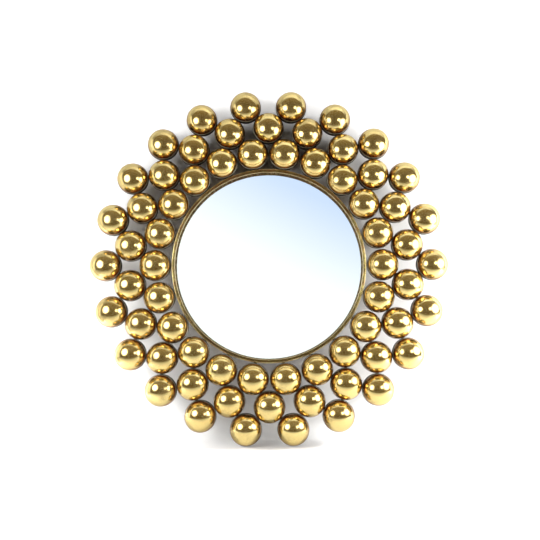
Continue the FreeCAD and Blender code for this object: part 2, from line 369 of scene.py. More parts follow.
def remap(tree, value, low, high, to_low=0.0, to_high=1.0):
    """Value taken from one range to another and clamped."""
    node = tree.nodes.new("ShaderNodeMapRange")
    node.inputs["From Min"].default_value = low
    node.inputs["From Max"].default_value = high
    node.inputs["To Min"].default_value = to_low
    node.inputs["To Max"].default_value = to_high
    tree.links.new(value, node.inputs["Value"])
    return node.outputs["Result"]


def math_node(tree, operation, first, second):
    """Result of a math node whose inputs are sockets or numbers."""
    node = tree.nodes.new("ShaderNodeMath")
    node.operation = operation
    feed(tree, node.inputs[0], first)
    feed(tree, node.inputs[1], second)
    return node.outputs["Value"]


def mix_colours(tree, factor, first, second):
    """Colour mixed from two, each a socket or an RGB triple."""
    node = tree.nodes.new("ShaderNodeMix")
    node.data_type = "RGBA"
    tree.links.new(factor, node.inputs["Factor"])
    feed(tree, node.inputs[6], first)
    feed(tree, node.inputs[7], second)
    return node.outputs[2]


def shade(colour, *factors):
    """Colour multiplied by one factor, or by one for each channel, and never over 1."""
    return tuple(min(1.0, value * factor) for value, factor in zip(colour, factors * 3))


def colour_ramp(tree, factor, stops):
    """Colour from a ramp with these (place, RGB) stops."""
    node = tree.nodes.new("ShaderNodeValToRGB")
    elements = node.color_ramp.elements
    elements.remove(elements[1])
    elements[0].position = stops[0][0]
    elements[0].color = (*stops[0][1], 1.0)
    for position, colour in stops[1:]:
        elements.new(position).color = (*colour, 1.0)
    tree.links.new(factor, node.inputs["Fac"])
    return node.outputs["Color"]


def bump(tree, height, distance, strength=1.0, normal=None):
    """Normal socket from a height."""
    node = tree.nodes.new("ShaderNodeBump")
    node.inputs["Distance"].default_value = distance
    node.inputs["Strength"].default_value = strength
    tree.links.new(height, node.inputs["Height"])
    if normal is not None:
        tree.links.new(normal, node.inputs["Normal"])
    return node.outputs["Normal"]


def shader_node(tree, kind, *sources):
    """Shader that this kind of node makes from these sockets."""
    node = tree.nodes.new(kind)
    for source, socket in zip(sources, node.inputs):
        tree.links.new(source, socket)
    return node.outputs["Shader"]


def start_group(name, inputs, outputs):
    """Shader node group with named numbers as inputs, and numbers or a colour as outputs."""
    group = bpy.data.node_groups.new(name, "ShaderNodeTree")
    group.interface.new_socket("Vector", in_out="INPUT", socket_type="NodeSocketVector")
    for label, default in inputs:
        socket = group.interface.new_socket(label, in_out="INPUT", socket_type="NodeSocketFloat")
        socket.default_value = default
    for label in outputs:
        kind = "NodeSocketColor" if label == "Colour" else "NodeSocketFloat"
        group.interface.new_socket(label, in_out="OUTPUT", socket_type=kind)
    return group, group.nodes.new("NodeGroupInput").outputs, group.nodes.new("NodeGroupOutput").inputs


def tarnish_masks(name):
    """Specks and cloudy stains of tarnish on brass, as two masks."""
    settings = [("Speck scale", 2600.0), ("Speck limit", 0.70), ("Stain limit", 0.60)]
    group, given, result = start_group(name, settings, ["Specks", "Stains"])
    place = given["Vector"]
    density = remap(group, noise(group, place, 38.0, 3.0), 0.42, 0.72)
    fine = noise(group, place, given["Speck scale"], 1.0)
    level = math_node(group, "ADD", fine, math_node(group, "MULTIPLY", density, 0.22))
    over = math_node(group, "SUBTRACT", level, given["Speck limit"])
    group.links.new(remap(group, over, 0.0, 0.05), result["Specks"])
    cloud = noise(group, place, 24.0, 5.0, 0.6, 0.4)
    beyond = math_node(group, "SUBTRACT", cloud, given["Stain limit"])
    group.links.new(remap(group, beyond, 0.0, 0.18), result["Stains"])


def unpolished_sides(name):
    """Sides and backs of the balls by depth: how far from the polish, how dull, and the colour, in bands of
    painted shade and a painted reflection line over a dull back.
    """
    settings = [("Middle depth", 0.0), ("Ball radius", 0.025), ("Unevenness", 0.12)]
    group, given, result = start_group(name, settings, ["Amount", "Dullness", "Colour"])
    place = given["Vector"]
    behind = math_node(group, "SUBTRACT", split(group, place)["Y"], given["Middle depth"])
    share = math_node(group, "DIVIDE", behind, given["Ball radius"])
    patchy = math_node(group, "SUBTRACT", noise(group, place, 95.0, 4.0, 0.6), 0.5)
    level = math_node(group, "ADD", share, math_node(group, "MULTIPLY", patchy, given["Unevenness"]))
    group.links.new(remap(group, level, -0.54, -0.36), result["Amount"])
    side = remap(group, level, -0.29, -0.24)
    back = remap(group, level, 0.05, 0.40, 1.0, 0.3)
    group.links.new(math_node(group, "MULTIPLY", side, back), result["Dullness"])
    bands = colour_ramp(group, remap(group, level, -0.50, 0.50), SIDE_BANDS_PAINTED_SHADE_AND_REFLECTION)
    group.links.new(bands, result["Colour"])


def polishing_lines(name):
    """Fine polishing lines and hand marks, as a height and a smear mask."""
    group, given, result = start_group(name, [("Line scale", 900.0)], ["Height", "Smear"])
    stretched = mapped(group, given["Vector"], (1.0, 0.08, 0.35))
    group.links.new(noise(group, stretched, given["Line scale"], 4.0), result["Height"])
    smear = noise(group, given["Vector"], 55.0, 4.0, 0.55, 0.8)
    group.links.new(remap(group, smear, 0.45, 0.75), result["Smear"])


def place_group(tree, maker, vector, **values):
    """Outputs of a shared group, made once and named after its maker, with its own input values."""
    name = maker.__name__.replace("_", " ").capitalize()
    if name not in bpy.data.node_groups:
        maker(name)
    node = tree.nodes.new("ShaderNodeGroup")
    node.node_tree = bpy.data.node_groups[name]
    tree.links.new(vector, node.inputs["Vector"])
    for label, value in values.items():
        node.inputs[label.replace("_", " ").capitalize()].default_value = value
    return node.outputs


# ---- Materials ----
def polished_brass(tree, shader, place, colours):
    """Mirror-bright fronts with faint smears and tarnish specks, and dull, unpolished sides and backs,
    banded with painted shade and a painted reflection line.
    """
    sides = place_group(tree, unpolished_sides, place, middle_depth=BALL_Y, ball_radius=BALL_RADIUS)
    tarnish = place_group(tree, tarnish_masks, place)
    polish = place_group(tree, polishing_lines, place)
    tone = remap(tree, noise(tree, place, 14.0, 3.0), 0.3, 0.7)
    base = mix_colours(tree, tone, colours.brass, shade(colours.brass, 0.98, 0.93, 0.86))
    specks = math_node(tree, "MULTIPLY", tarnish["Specks"], 0.75)
    base = mix_colours(tree, specks, base, colours.tarnish)
    # Bands of painted shade and a painted reflection line on the balls' sides, set by depth.
    base = mix_colours(tree, sides["Amount"], base, sides["Colour"])
    metallic = remap(tree, sides["Dullness"], 0.0, 1.0, 1.0, 0.15)
    rough = math_node(tree, "ADD", math_node(tree, "MULTIPLY", polish["Smear"], 0.05), 0.15)
    for extra in (math_node(tree, "MULTIPLY", tarnish["Specks"], 0.3),
                  remap(tree, noise(tree, place, 3200.0, 1.0), 0.58, 0.74, 0.0, 0.18),
                  math_node(tree, "MULTIPLY", sides["Dullness"], 0.40)):
        rough = math_node(tree, "ADD", rough, extra)
    wavy = bump(tree, noise(tree, place, 120.0, 1.0), 0.00005, 0.5)
    feed_shader(tree, shader, base, rough, metallic, bump(tree, polish["Height"], 0.000004, 0.4, wavy))


def hoop_edges(tree, place):
    """Mask of the front band's two rounded edges, where a pale highlight is painted."""
    sizes = bpy.context.scene.girandole_sizes
    radius = length_of(tree, mapped(tree, place, (1.0, 0.0, 1.0)))
    sight = sizes.hoop_radius - sizes.rim_width
    outer = remap(tree, radius, sizes.hoop_radius - 1.6 * MM, sizes.hoop_radius - 0.7 * MM)
    inner = math_node(tree, "MULTIPLY", remap(tree, radius, sight + 1.5 * MM, sight + 0.9 * MM),
                      remap(tree, radius, sight + 0.1 * MM, sight + 0.4 * MM))
    return math_node(tree, "MAXIMUM", outer, inner)


def hammered_brass(tree, shader, place, colours):
    """Hand-finished brass of the hoop: olive and reddish patches, pitted, with a pale highlight painted
    along its edges.
    """
    tarnish = place_group(tree, tarnish_masks, place, speck_scale=900.0, speck_limit=0.56)
    polish = place_group(tree, polishing_lines, place, line_scale=1400.0)
    olive = shade(colours.hoop_brass, 0.70, 0.70, 0.52)
    reddish = shade(colours.hoop_brass, 0.66, 0.42, 0.34)
    # The patches turn redder and darker towards the top of the hoop.
    upper = remap(tree, split(tree, place)["Z"], 0.0, 0.16, 0.0, 0.14)
    patchy = math_node(tree, "ADD", noise(tree, place, 90.0, 4.0, 0.6), upper)
    base = mix_colours(tree, remap(tree, patchy, 0.48, 0.72), olive, reddish)
    worn = remap(tree, noise(tree, place, 420.0, 4.0, 0.65), 0.52, 0.70)
    # Painted highlight: a pale colour along the band's two rounded edges.
    rubbed = hoop_edges(tree, place)
    for mask, share, colour in ((worn, 0.55, colours.hoop_brass), (tarnish["Specks"], 0.70, colours.tarnish),
                                (tarnish["Stains"], 0.50, colours.tarnish), (rubbed, 0.85, colours.rubbed)):
        base = mix_colours(tree, math_node(tree, "MULTIPLY", mask, share), base, colour)
    rough = math_node(tree, "ADD", remap(tree, worn, 0.0, 1.0, 0.26, 0.18),
                      math_node(tree, "MULTIPLY", rubbed, 0.16))
    dents = bump(tree, noise(tree, place, 420.0, 3.0), 0.00010, 0.6)
    feed_shader(tree, shader, base, rough, 1.0, bump(tree, polish["Height"], 0.00002, 0.5, dents))


def dark_braze(tree, shader, place, colours):
    """Oxidised braze of the pins and beads."""
    tone = remap(tree, noise(tree, place, 900.0, 4.0), 0.3, 0.75)
    base = mix_colours(tree, tone, colours.braze, shade(colours.braze, 2.4))
    grain = bump(tree, noise(tree, place, 2200.0, 3.0), 0.00006, 0.8)
    feed_shader(tree, shader, base, remap(tree, tone, 0.0, 1.0, 0.55, 0.32), 0.9, grain)


def silvered_glass(tree, shader, place, colours):
    """Flat mirror with barely visible wiping haze."""
    haze = remap(tree, noise(tree, mapped(tree, place, (1.0, 1.0, 0.4)), 22.0, 5.0, 0.6, 0.6), 0.45, 0.85)
    feed_shader(tree, shader, colours.silver, math_node(tree, "MULTIPLY", haze, 0.012), 1.0)


def raw_fibreboard(tree, shader, place, colours):
    """Brown hardboard with pressed fibres."""
    fibres = noise(tree, mapped(tree, place, (1.0, 1.0, 0.25)), 1300.0, 5.0, 0.65, 0.5)
    clouds = noise(tree, place, 16.0, 4.0, 0.6)
    tone = math_node(tree, "ADD", math_node(tree, "MULTIPLY", fibres, 0.7),
                     math_node(tree, "MULTIPLY", clouds, 0.3))
    base = mix_colours(tree, remap(tree, tone, 0.35, 0.65), shade(colours.board, 0.62),
                       shade(colours.board, 1.35))
    feed_shader(tree, shader, base, 0.78, 0.0, bump(tree, fibres, 0.00012, 0.8))


def plain_card(tree, shader, place, colours):
    """Grey-brown card edge between glass and board."""
    fibres = noise(tree, place, 1600.0, 4.0, 0.6)
    base = mix_colours(tree, remap(tree, fibres, 0.35, 0.65), colours.card, shade(colours.card, 1.3))
    feed_shader(tree, shader, base, 0.9, 0.0, bump(tree, fibres, 0.00005, 0.6))


def zinc_steel(tree, shader, place, colours):
    """Zinc-plated steel with dull blooms and fine lines."""
    polish = place_group(tree, polishing_lines, place, line_scale=1600.0)
    bloom = remap(tree, noise(tree, place, 420.0, 4.0, 0.6), 0.35, 0.7)
    base = mix_colours(tree, bloom, colours.zinc, shade(colours.zinc, 0.72, 0.70, 0.66))
    rough = remap(tree, bloom, 0.0, 1.0, 0.26, 0.42)
    feed_shader(tree, shader, base, rough, 1.0, bump(tree, polish["Height"], 0.00002, 0.6))


def black_rubber(tree, shader, place, colours):
    """Soft black rubber with a fine grain."""
    dust = remap(tree, noise(tree, place, 240.0, 5.0, 0.65), 0.5, 0.8)
    base = mix_colours(tree, dust, colours.rubber, shade(colours.rubber, 3.0))
    grain = bump(tree, noise(tree, place, 2600.0, 3.0), 0.00004, 0.6)
    feed_shader(tree, shader, base, 0.62, 0.0, grain)


def material_by(maker):
    """Material made once by this maker and named after it."""
    name = maker.__name__
    if name not in bpy.data.materials:
        tree, surface = empty_material(name)[1:]
        shader = tree.nodes.new("ShaderNodeBsdfPrincipled")
        tree.links.new(shader.outputs["BSDF"], surface)
        maker(tree, shader, object_coordinates(tree), bpy.context.scene.girandole_colours)
    return bpy.data.materials[name]


# ---- Balls ----
def one_ball(sizes):
    """Ball pressed from two halves, front and back, with a fine dressed seam between them."""
    segments, rings = 64, 34
    seam_half, seam_depth = 0.12 * MM, 0.05 * MM
    piece = new_primitive(bpy.ops.mesh.primitive_uv_sphere_add, "ball_pattern", segments=segments,
                          ring_count=rings, radius=sizes.ball_radius, rotation=(math.pi / 2, 0, 0))
    apply_place(piece)
    near = sizes.ball_radius * 1e-3
    bpy.ops.object.mode_set(mode="EDIT")
    select_by(piece, "edges", lambda edge: all(abs(v.co.y) < near for v in edge.verts))
    bpy.ops.mesh.bevel(offset=seam_half, segments=2, profile=0.5, affect="EDGES")
    select_by(piece, "verts", lambda vert: abs(vert.co.y) < seam_half / 4)
    shrink = 1 - seam_depth / sizes.ball_radius
    bpy.ops.transform.resize(value=(shrink, 1, shrink), center_override=(0, 0, 0))
    bpy.ops.object.mode_set(mode="OBJECT")
    smooth(piece, 60)
    return piece


def ball_trio_places(sizes, index):
    """Centres of the inner, middle and outer ball of one row."""
    angle = index * PITCH
    return (polar(sizes.inner_ring, angle), polar(sizes.middle_ring, angle + PITCH / 2),
            polar(sizes.outer_ring, angle))


class GIRANDOLE_OT_balls(bpy.types.Operator):
    """Makes the polished balls, three to a row"""
    bl_idname = "girandole.balls"
    bl_label = "Polished balls"

    def execute(self, context):
        sizes = context.scene.girandole_sizes
        brass = material_by(polished_brass)
        pattern = one_ball(sizes)
        for index, node in enumerate(TRIO_NODES):
            balls = [copy_of(pattern, f"ball_{index}_{ring}", Matrix.Translation(place))
                     for ring, place in enumerate(ball_trio_places(sizes, index))]
            trio = join(balls, node.replace("ball_trio", "polished_balls"))
            finish_piece(trio, brass, "ball_brass", "root", node)
        bpy.data.objects.remove(pattern)
        return {"FINISHED"}


# ---- Pins and beads ----
def spool(name, length, waist, flare, reach):
    """Bead of braze round a pin: waisted in the middle, flared at both faces, closed at the ends."""
    rings = 6
    piece = new_primitive(bpy.ops.mesh.primitive_cylinder_add, name, vertices=20, radius=waist,
                          depth=length + 2 * reach)
    bpy.ops.object.mode_set(mode="EDIT")
    for step in range(1, rings):
        height = -length / 2 + length * step / rings
        bpy.ops.mesh.select_all(action="SELECT")
        bpy.ops.mesh.bisect(plane_co=(0, 0, height), plane_no=(0, 0, 1))
    for side in (-1, 1):
        bpy.ops.mesh.select_all(action="SELECT")
        bpy.ops.mesh.bisect(plane_co=(0, 0, side * length / 2), plane_no=(0, 0, 1))
    near = length * 1e-3
    for step in range(rings + 1):
        height = -length / 2 + length * step / rings
        spread = 1 + (flare / waist - 1) * (2 * abs(height) / length) ** 2
        select_by(piece, "verts", lambda vert: abs(vert.co.z - height) < near)
        bpy.ops.transform.resize(value=(spread, spread, 1), center_override=(0, 0, 0))
    bpy.ops.object.mode_set(mode="OBJECT")
    smooth(piece, 50)
    return piece


def place_between(start, end):
    """Matrix that puts a piece made along +Z at the middle of two points, along them."""
    turn = (end - start).to_track_quat("Z", "Y").to_matrix().to_4x4()
    return Matrix.Translation((start + end) / 2) @ turn


def scatter(pattern, name, spans):
    """Copies of the pattern between each pair of points, joined."""
    copies = [copy_of(pattern, f"{name}_{index}", place_between(*span)) for index, span in enumerate(spans)]
    bpy.data.objects.remove(pattern)
    return join(copies, name)


def link_spans(ring, other_ring):
    """Pairs of ball centres that pins join, from the ring outwards to its two neighbours."""
    count = len(ring)
    return [(ring[index], other_ring[index - back]) for index in range(count) for back in (0, 1)]


class GIRANDOLE_OT_joints(bpy.types.Operator):
    """Makes the brazed pins between the balls and the studs to the hoop"""
    bl_idname = "girandole.joints"
    bl_label = "Brazed joints"

    def execute(self, context):
        sizes = context.scene.girandole_sizes
        braze = material_by(dark_braze)
        rows = [ball_trio_places(sizes, index) for index in range(len(TRIO_NODES))]
        inner, middle, outer = (list(ring) for ring in zip(*rows))
        span = (middle[0] - inner[0]).length
        gap = span - 2 * sizes.ball_radius
        waist, flare, reach = 2.3 * MM, 2.9 * MM, 1.5 * MM
        sunk, stud_sunk = 0.30 * MM, 0.1 * MM
        bead = gap + 2 * sunk
        for name, node, spans in (
                ("inner_joints", "inner_link_pins", link_spans(inner, middle)),
                ("outer_joints", "outer_link_pins", link_spans(outer, middle))):
            piece = scatter(spool(name + "_pattern", bead, waist, flare, reach), name, spans)
            finish_piece(piece, braze, "braze", "root", node)
        stud_gap = sizes.inner_ring - sizes.ball_radius - sizes.hoop_radius
        studs = []
        for index in range(len(TRIO_NODES)):
            angle = index * PITCH
            studs.append((polar(sizes.hoop_radius, angle), polar(sizes.hoop_radius + stud_gap, angle)))
        pattern = spool("stud_pattern", stud_gap + 2 * stud_sunk, waist, flare, reach)
        piece = scatter(pattern, "hoop_studs", studs)
        finish_piece(piece, braze, "braze", "root", "rim_studs")
        return {"FINISHED"}


# ---- Hoop ----
def hoop_section(sizes):
    """Section of the hoop, drawn in the plane of radius (X) and depth (Y), as an open-faced outline."""
    band_back = GLASS_LOW.y
    width, depth = sizes.rim_width, band_back - HOOP_LOW.y
    middle = (sizes.hoop_radius - width / 2, (band_back + HOOP_LOW.y) / 2, 0)
    piece = new_primitive(bpy.ops.mesh.primitive_plane_add, "hammered_hoop", size=1, location=middle)
    piece.scale = (width, depth, 1)
    apply_place(piece)
    rebate = sizes.hoop_radius - sizes.hoop_wall
    sight = sizes.hoop_radius - width
    near = 1e-6
    bpy.ops.object.mode_set(mode="EDIT")
    bpy.ops.mesh.select_all(action="SELECT")
    bpy.ops.mesh.bisect(plane_co=(rebate, 0, 0), plane_no=(1, 0, 0))
    select_by(piece, "edges", lambda edge: edge_middle(edge).x > rebate + near
              and all(abs(v.co.y - band_back) < near for v in edge.verts))
    bpy.ops.mesh.extrude_region_move(TRANSFORM_OT_translate={"value": (0, HOOP_HIGH.y - band_back, 0)})
    bpy.ops.mesh.select_all(action="SELECT")
    bpy.ops.mesh.dissolve_faces()
    rounds = ((sizes.hoop_radius, sizes.outer_round, 8), (sight, sizes.inner_round, 6))
    for radius, round_size, segments in rounds:
        select_by(piece, "verts", lambda vert: abs(vert.co.x - radius) < near
                  and abs(vert.co.y - HOOP_LOW.y) < near)
        bpy.ops.mesh.bevel(offset=round_size, segments=segments, profile=0.5, affect="VERTICES")
    select_by(piece, "edges", lambda edge: all(abs(v.co.y - HOOP_LOW.y) < near for v in edge.verts))
    bpy.ops.mesh.subdivide(number_cuts=5)
    select_by(piece, "edges", lambda edge: all(abs(v.co.x - sight) < near for v in edge.verts))
    bpy.ops.mesh.subdivide(number_cuts=6)
    bpy.ops.mesh.select_mode(type="FACE")
    bpy.ops.mesh.select_all(action="SELECT")
    bpy.ops.mesh.delete(type="ONLY_FACE")
    bpy.ops.object.mode_set(mode="OBJECT")
    return piece


def turned_hoop(sizes):
    """Section spun round the mirror's axis."""
    piece = hoop_section(sizes)
    make_active(piece)
    bpy.ops.object.mode_set(mode="EDIT")
    bpy.ops.mesh.select_mode(type="VERT")
    bpy.ops.mesh.select_all(action="SELECT")
    bpy.ops.mesh.spin(steps=480, angle=2 * math.pi, center=(0, 0, 0), axis=(0, 1, 0))
    bpy.ops.object.mode_set(mode="OBJECT")
    close_up(piece)
    return piece


def hammer(piece, sizes):
    """Shallow hammer marks pressed into the hoop."""
    texture = bpy.data.textures.new("hammer_marks", "VORONOI")
    texture.noise_scale = sizes.hammer_size
    texture.distance_metric = "DISTANCE"
    marks = piece.modifiers.new("hammer", "DISPLACE")
    marks.texture = texture
    marks.texture_coords = "LOCAL"
    marks.mid_level = 1.0
    marks.strength = sizes.hammer_depth
    apply_modifiers(piece)


def cut_slots(piece, sizes):
    """Slots at the back of the hoop that the turn buttons' tips enter."""
    cutters = []
    across, play, width = 12 * MM, 0.6 * MM, 14.6 * MM
    depth = BUTTON_HIGH.y - BUTTON_LOW.y + play
    for number, node in enumerate(BUTTON_NODES):
        low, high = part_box(node)
        middle = (low + high) / 2
        angle = math.atan2(middle.z, middle.x)
        centre = polar(sizes.hoop_radius, angle, middle.y)
        cutter = new_primitive(bpy.ops.mesh.primitive_cube_add, f"slot_{number}", size=1, location=centre,
                               rotation=(0, -angle, 0))
        cutter.scale = (across, depth, width)
        apply_place(cutter)
        cutters.append(cutter)
    cutter = join(cutters, "slot_cutters")
    cut = piece.modifiers.new("slots", "BOOLEAN")
    cut.operation = "DIFFERENCE"
    cut.solver = "EXACT"
    cut.object = cutter
    apply_modifiers(piece)
    bpy.data.objects.remove(cutter)


class GIRANDOLE_OT_hoop(bpy.types.Operator):
    """Makes the hammered hoop with its rounded front band"""
    bl_idname = "girandole.hoop"
    bl_label = "Hammered hoop"

    def execute(self, context):
        sizes = context.scene.girandole_sizes
        hoop = turned_hoop(sizes)
        hammer(hoop, sizes)
        cut_slots(hoop, sizes)
        smooth(hoop, 40)
        finish_piece(hoop, material_by(hammered_brass), "aged_brass", "root", "rim_hoop")
        return {"FINISHED"}


# ---- Glass ----
class GIRANDOLE_OT_glass(bpy.types.Operator):
    """Makes the flat mirror glass with ground edges"""
    bl_idname = "girandole.glass"
    bl_label = "Mirror glass"

    def execute(self, context):
        thickness = GLASS_HIGH.y - GLASS_LOW.y
        glass = new_primitive(bpy.ops.mesh.primitive_cylinder_add, "silvered_disc", vertices=192,
                              radius=GLASS_HIGH.z, depth=thickness, rotation=(math.pi / 2, 0, 0),
                              location=(0, (GLASS_HIGH.y + GLASS_LOW.y) / 2, 0))
        apply_place(glass)
        near, ground = thickness / 10, 0.5 * MM
        bpy.ops.object.mode_set(mode="EDIT")
        select_by(glass, "edges", lambda edge: len(edge.link_faces) == 2
                  and abs(edge.verts[0].co.y - edge.verts[1].co.y) < near)
        bpy.ops.mesh.bevel(offset=ground, segments=2, affect="EDGES")
        bpy.ops.object.mode_set(mode="OBJECT")
        smooth(glass, 10)
        finish_piece(glass, material_by(silvered_glass), "mirror", "root", "mirror_glass")
        return {"FINISHED"}


# ---- Hardware and board, dressed from the frame's own shapes ----
def dressed(node, name, bevel_width, smooth_degrees=32):
    """Merged copy of a node with small rounds along its sharp edges."""
    piece = copy_of(frame["nodes"][node], name, Matrix.Identity(4))
    piece.parent = None
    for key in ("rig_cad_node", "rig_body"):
        if key in piece:
            del piece[key]
    close_up(piece, 2e-6)
    if bevel_width:
        rounds = piece.modifiers.new("rounds", "BEVEL")
        rounds.width = bevel_width
        rounds.segments = 2
        rounds.limit_method = "ANGLE"
        rounds.angle_limit = math.radians(50)
        apply_modifiers(piece)
    smooth(piece, smooth_degrees)
    return piece


class GIRANDOLE_OT_back(bpy.types.Operator):
    """Dresses the backing board, the card and the rubber bumpers"""
    bl_idname = "girandole.back"
    bl_label = "Back of the mirror"

    def execute(self, context):
        board = dressed("backing_board", "fibre_board", 0.0, 12)
        finish_piece(board, material_by(raw_fibreboard), "board", "root", "backing_board")
        card = frame["nodes"]["card_sheet"]
        card.data.materials.clear()
        card.data.materials.append(material_by(plain_card))
        for node in BUMPER_NODES:
            bumper = dressed(node, node.replace("wall", "rubber"), 0.0)
            finish_piece(bumper, material_by(black_rubber), "bumper_rubber", "root", node)
        return {"FINISHED"}


class GIRANDOLE_OT_hardware(bpy.types.Operator):
    """Dresses the turn buttons, the hanger and the screws"""
    bl_idname = "girandole.hardware"
    bl_label = "Steel hardware"

    def execute(self, context):
        zinc = material_by(zinc_steel)
        pieces = [("turn_button_screws", "button_screws", "root", 0.15 * MM),
                  ("hanger_screws", "strap_screws", "root", 0.15 * MM),
                  ("bumper_screws", "foot_screws", "root", 0.15 * MM),
                  ("hanger_strap", "steel_strap", "root", 0.15 * MM),
                  ("hanger_ring", "steel_ring", "hanger_ring", 0.0)]
        pieces += [(node, node.replace("turn", "steel"), node, 0.2 * MM) for node in BUTTON_NODES]
        for node, name, body, bevel_width in pieces:
            finish_piece(dressed(node, name, bevel_width), zinc, "steel", body, node)
        return {"FINISHED"}


# ---- Stage ----
def room_turn(stage):
    """Turns the room's axes into the mirror's: the mirror leans back, so the room tips forward."""
    return Euler((stage.lean, 0, 0)).to_matrix()


def clear_of_mirror(tree, sizes):
    """Mask that is 0 behind the mirror and round its foot, and 1 clear of it."""
    lower, inside, outside = 0.8 * sizes.ball_radius, 0.5 * sizes.ball_radius, 2.6 * sizes.ball_radius
    # The glow that this mask lets through is painted light on the white room; its edge comes nearer the
    # balls above the mirror than at its foot.
    centre = tree.nodes.new("ShaderNodeMapping")
    centre.inputs["Location"].default_value = (0, 0, lower)
    tree.links.new(object_coordinates(tree), centre.inputs["Vector"])
    radius = length_of(tree, centre.outputs["Vector"])
    return remap(tree, radius, sizes.outer_ring - inside, sizes.outer_ring + outside)


def stage_material(name, camera_glow, glossy_glow, sizes):
    """Matt white, clear from behind, that glows to the camera and to reflections clear of the mirror."""
    material, tree, surface = empty_material(name)
    matt = tree.nodes.new("ShaderNodeBsdfDiffuse")
    matt.inputs["Color"].default_value = (*STAGE_WHITE, 1.0)
    glow = tree.nodes.new("ShaderNodeEmission")
    path = tree.nodes.new("ShaderNodeLightPath").outputs
    strength = math_node(tree, "ADD", math_node(tree, "MULTIPLY", path["Is Camera Ray"], camera_glow),
                         math_node(tree, "MULTIPLY", path["Is Glossy Ray"], glossy_glow))
    strength = math_node(tree, "MULTIPLY", strength, clear_of_mirror(tree, sizes))
    tree.links.new(strength, glow.inputs["Strength"])
    lit = shader_node(tree, "ShaderNodeAddShader", matt.outputs["BSDF"], glow.outputs["Emission"])
    behind = tree.nodes.new("ShaderNodeNewGeometry").outputs["Backfacing"]
    clear = tree.nodes.new("ShaderNodeBsdfTransparent").outputs["BSDF"]
    tree.links.new(shader_node(tree, "ShaderNodeMixShader", behind, lit, clear), surface)
    return material


def stage_sheet(name, material, centre, width, depth, turned):
    """Flat stage sheet that faces up, then turned by these angles."""
    sheet = new_primitive(bpy.ops.mesh.primitive_plane_add, name, size=1, location=centre, rotation=turned)
    sheet.scale = (width, depth, 1)
    apply_place(sheet)
    sheet.data.materials.append(material)
    return sheet


def room_corner(sizes, turn):
    """Point where the wall and the table meet below the mirror, in the mirror's axes."""
    up = turn @ Vector((0, 0, 1))
    front = turn @ Vector((0, -1, 0))
    rise = sizes.outer_ring * math.cos(PITCH / 2)
    foot = Vector((0, BALL_Y, -rise)) - up * sizes.ball_radius
    head = Vector((0, BALL_Y, rise)) - front * sizes.ball_radius
    return foot - front * (foot - head).dot(front)


def fade_forwards(material):
    """Darkens the table's matt white towards the camera."""
    dark, dark_y, white_y = (0.10, 0.09, 0.07), -0.42, -0.12
    tree = material.node_tree
    matt = next(node for node in tree.nodes if node.type == "BSDF_DIFFUSE")
    near = remap(tree, split(tree, object_coordinates(tree))["Y"], dark_y, white_y)
    tree.links.new(mix_colours(tree, near, dark, STAGE_WHITE), matt.inputs["Color"])


def build_sweep(stage, corner, turn, material, rise):
    """White table that curves up into the wall behind the mirror."""
    back, up = (turn @ Vector(axis) for axis in ((0, 1, 0), (0, 0, 1)))
    gap, cove = 0.4 * MM, 40 * MM
    foot = corner - up * gap + back * gap
    depth = stage.table_depth + foot.y
    middle = foot - back * depth / 2
    sweep = stage_sheet("white_sweep", material, middle, ROOM_WIDTH, depth, (stage.lean, 0, 0))
    make_active(sweep)
    bpy.ops.object.mode_set(mode="EDIT")
    select_by(sweep, "edges", lambda edge: all((v.co - foot).dot(back) > -MM for v in edge.verts))
    bpy.ops.mesh.extrude_region_move(TRANSFORM_OT_translate={"value": up * rise})
    select_by(sweep, "edges", lambda edge: all((v.co - foot).dot(back) > -MM and (v.co - foot).dot(up) < MM
                                               for v in edge.verts))
    bpy.ops.mesh.bevel(offset=cove, segments=10, affect="EDGES")
    bpy.ops.object.mode_set(mode="OBJECT")
    smooth(sweep, 40)


def build_room(stage, sizes):
    """White sweep behind and under the mirror, a canopy overhead and a panel at the left."""
    turn = room_turn(stage)
    corner = room_corner(sizes, turn)
    back, up = (turn @ Vector(axis) for axis in ((0, 1, 0), (0, 0, 1)))
    rise = stage.canopy_height - corner.z
    sweep = stage_material("white_sweep", stage.room_glow, stage.room_shine, sizes)
    fade_forwards(sweep)
    build_sweep(stage, corner, turn, sweep, rise)
    overhead = stage_material("white_canopy", 0.0, stage.room_shine, sizes)
    head = corner + up * rise - back * stage.canopy_depth / 2
    facing_down = (stage.lean + math.pi, 0, 0)
    canopy = stage_sheet("canopy", overhead, head, ROOM_WIDTH, stage.canopy_depth, facing_down)
    canopy.visible_camera = False
    panel_shine, panel_height, panel_depth = 0.4, 0.9, 0.28
    beside = stage_material("white_panel", 0.0, panel_shine, sizes)
    facing_right = (0, math.pi / 2, 0)
    panel = stage_sheet("left_panel", beside, (-0.95, -0.14, 0.15), panel_height, panel_depth, facing_right)
    panel.visible_camera = False


